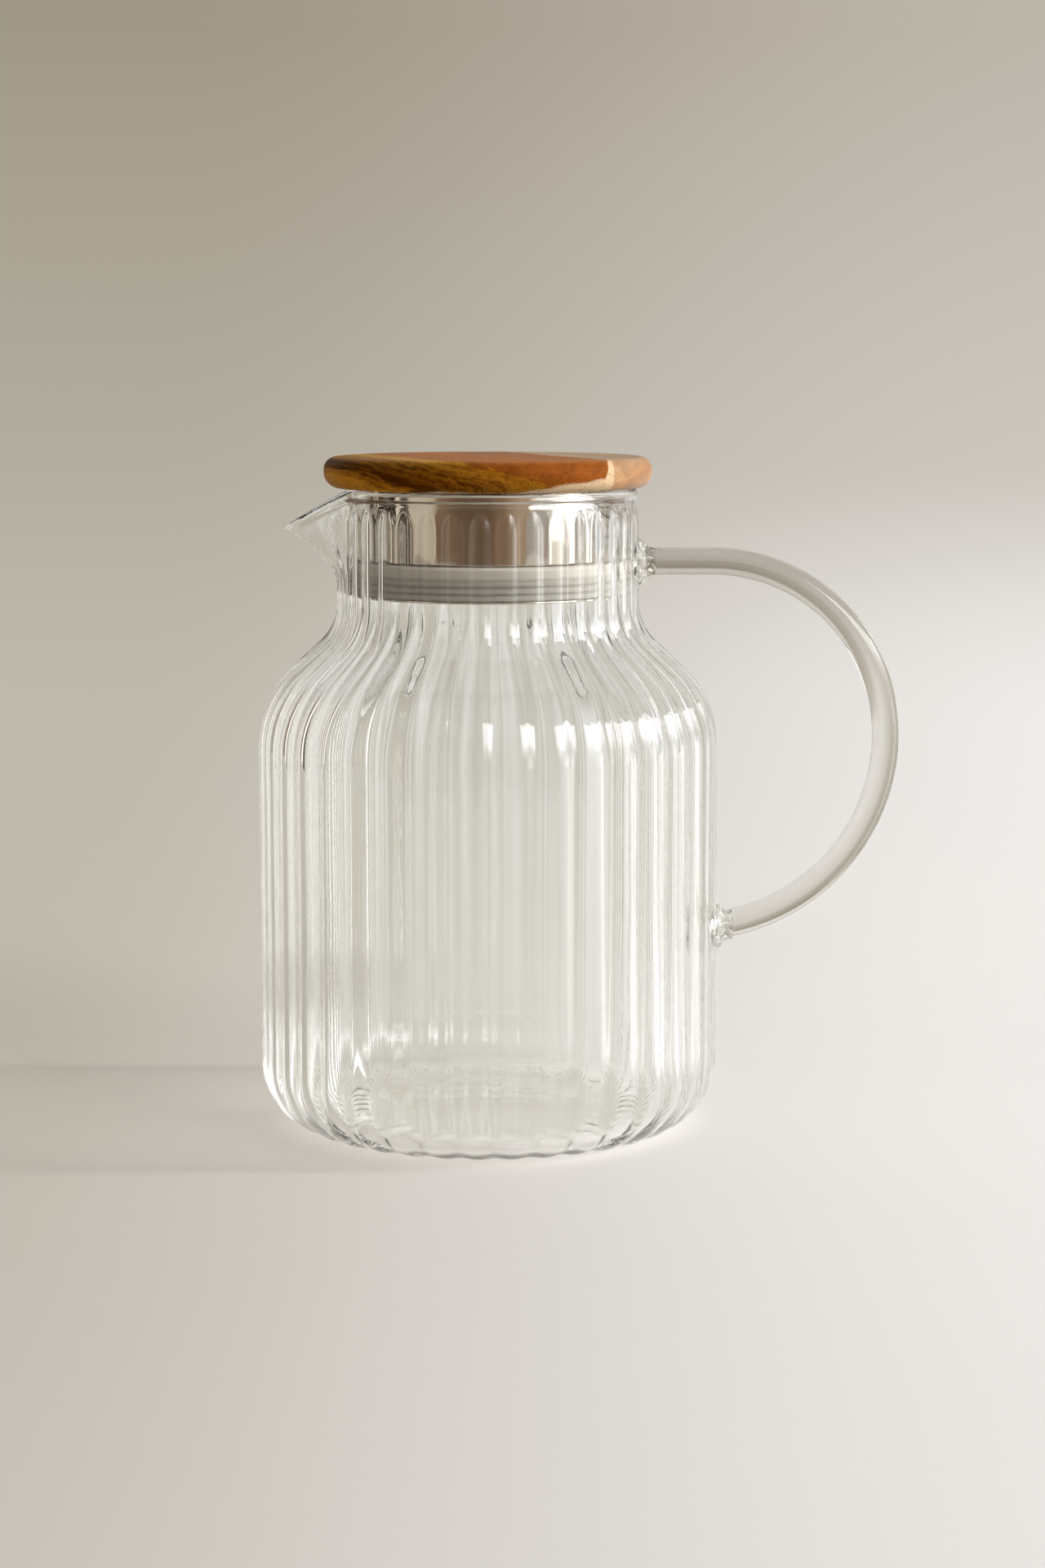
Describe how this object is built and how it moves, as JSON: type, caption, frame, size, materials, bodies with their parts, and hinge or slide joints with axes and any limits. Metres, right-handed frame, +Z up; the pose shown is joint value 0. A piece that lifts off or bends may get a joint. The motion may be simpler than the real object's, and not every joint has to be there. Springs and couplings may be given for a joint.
{
  "type": "glass pitcher",
  "caption": "Fluted glass pitcher with a pulled spout, a glass rod loop handle and a wooden lid that carries a steel strainer collar and a silicone gasket.",
  "frame": {"origin": "centre of the foot, on the table", "axes": "+Z up along the body's axis, +X towards the handle, -X towards the spout"},
  "size_m": [0.1813, 0.1298, 0.1889],
  "materials": {
    "clear_glass": "clear fire-polished borosilicate glass",
    "rod_glass": "clear solid borosilicate rod, flame-worked",
    "acacia_dark": "oiled acacia, dark streaks",
    "acacia_tan": "oiled acacia, even tan",
    "stainless_sheet": "satin stainless steel sheet",
    "silicone": "translucent grey-white food silicone",
    "stainless_screw": "plain stainless steel"
  },
  "bodies": {
    "pitcher": {"glass_body": "clear_glass", "handle_rod": "rod_glass", "handle_weld_upper": "rod_glass", "handle_weld_lower": "rod_glass"},
    "seal": {"gasket": "silicone"},
    "lid": {"lid_stave_wide": "acacia_dark", "lid_stave_narrow": "acacia_tan", "strainer_collar": "stainless_sheet", "lid_screws": "stainless_screw"}
  },
  "joints": [
    {"name": "lid_lift", "type": "slide", "parent": "pitcher", "child": "seal", "axis": [0, 0, 1], "range_m": [0, 0.045]},
    {"name": "lid_turn", "type": "hinge", "parent": "seal", "child": "lid", "pos_m": [0, 0, 0.165], "axis": [0, 0, 1], "continuous": true}
  ]
}
